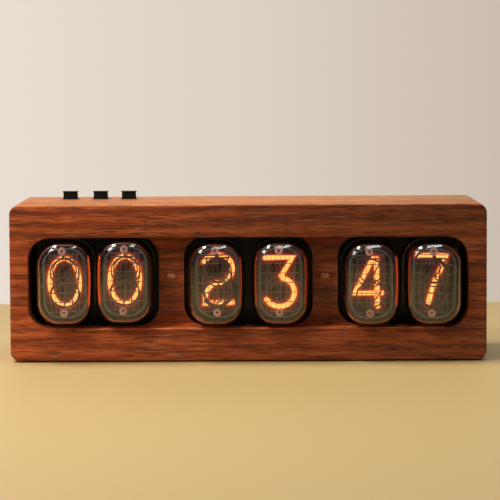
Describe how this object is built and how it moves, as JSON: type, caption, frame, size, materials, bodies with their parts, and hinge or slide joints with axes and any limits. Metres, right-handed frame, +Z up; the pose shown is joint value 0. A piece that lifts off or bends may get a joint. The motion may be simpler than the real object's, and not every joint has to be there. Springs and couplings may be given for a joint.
{
  "type": "digit tube clock",
  "caption": "Desk clock: a hardwood block with rounded windows, end-view glow tubes in pairs standing proud, push buttons on top, a vented rear panel and a power inlet.",
  "frame": {"origin": "on the surface under the feet, at the middle of the whole clock's width and depth", "axes": "+X right as seen from the front, +Y backwards (the tubes face -Y), +Z up"},
  "size_m": [0.18, 0.0666, 0.0625],
  "materials": {
    "wood": "oiled reddish-brown hardwood, satin",
    "rear_panel": "matt black sheet",
    "screw_steel": "blackened",
    "pad_rubber": "matt",
    "light_pipe": "frosted clear",
    "glass": "clear",
    "post_ceramic": "unglazed",
    "pin_metal": "bright",
    "socket_plastic": "moulded",
    "contact_metal": "gold plated",
    "board_black": "black solder mask",
    "led_lens": "diffused",
    "standoff_metal": "nickel plated",
    "board_green": "green solder mask",
    "header_plastic": "moulded",
    "chip_plastic": "moulded",
    "holder_plastic": "moulded",
    "cell_steel": "bright",
    "ferrite": "matt",
    "capacitor_sleeve": "shrink sleeve",
    "jack_plastic": "moulded",
    "switch_plastic": "moulded",
    "anode_metal": "dull",
    "cathode_metal": "dull etched sheet",
    "glow": "glowing neon discharge",
    "cap_plastic": "satin",
    "plunger_plastic": "moulded"
  },
  "bodies": {
    "root": {"case": "wood", "back_panel": "rear_panel", "back_panel_screws": "screw_steel", "foot_pads": "pad_rubber", "light_pipes": "light_pipe", "tube_1_envelope": "glass", "tube_2_envelope": "glass", "tube_3_envelope": "glass", "tube_4_envelope": "glass", "tube_5_envelope": "glass", "tube_6_envelope": "glass", "tube_1_anode": "anode_metal", "tube_2_anode": "anode_metal", "tube_3_anode": "anode_metal", "tube_4_anode": "anode_metal", "tube_5_anode": "anode_metal", "tube_6_anode": "anode_metal", "tube_1_cathodes": "cathode_metal", "tube_2_cathodes": "cathode_metal", "tube_3_cathodes": "cathode_metal", "tube_4_cathodes": "cathode_metal", "tube_5_cathodes": "cathode_metal", "tube_6_cathodes": "cathode_metal", "tube_1_lit_digit": "glow", "tube_2_lit_digit": "glow", "tube_3_lit_digit": "glow", "tube_4_lit_digit": "glow", "tube_5_lit_digit": "glow", "tube_6_lit_digit": "glow", "tube_stems": "glass", "tube_posts": "post_ceramic", "tube_pins": "pin_metal", "tube_sockets": "socket_plastic", "socket_contacts": "contact_metal", "tube_board": "board_black", "separator_leds": "led_lens", "front_standoffs": "standoff_metal", "middle_standoffs": "standoff_metal", "rear_standoffs": "standoff_metal", "main_board_screws": "screw_steel", "main_board": "board_green", "board_headers": "header_plastic", "driver_chips": "chip_plastic", "microcontroller": "chip_plastic", "coin_cell_holder": "holder_plastic", "coin_cell": "cell_steel", "buzzer": "holder_plastic", "hv_inductor": "ferrite", "hv_capacitor": "capacitor_sleeve", "hv_transistor": "chip_plastic", "dc_jack_housing": "jack_plastic", "dc_jack_pin": "contact_metal", "switch_bodies": "switch_plastic"},
    "button_1": {"button_1_cap": "cap_plastic", "switch_1_plunger": "plunger_plastic"},
    "button_2": {"button_2_cap": "cap_plastic", "switch_2_plunger": "plunger_plastic"},
    "button_3": {"button_3_cap": "cap_plastic", "switch_3_plunger": "plunger_plastic"}
  },
  "joints": [
    {"name": "button_1_press", "type": "slide", "parent": "root", "child": "button_1", "axis": [0, 0, -1], "range_m": [0, 0.0015], "stiffness_N_per_m": 600, "springref_m": -0.001},
    {"name": "button_2_press", "type": "slide", "parent": "root", "child": "button_2", "axis": [0, 0, -1], "range_m": [0, 0.0015], "stiffness_N_per_m": 600, "springref_m": -0.001},
    {"name": "button_3_press", "type": "slide", "parent": "root", "child": "button_3", "axis": [0, 0, -1], "range_m": [0, 0.0015], "stiffness_N_per_m": 600, "springref_m": -0.001}
  ]
}
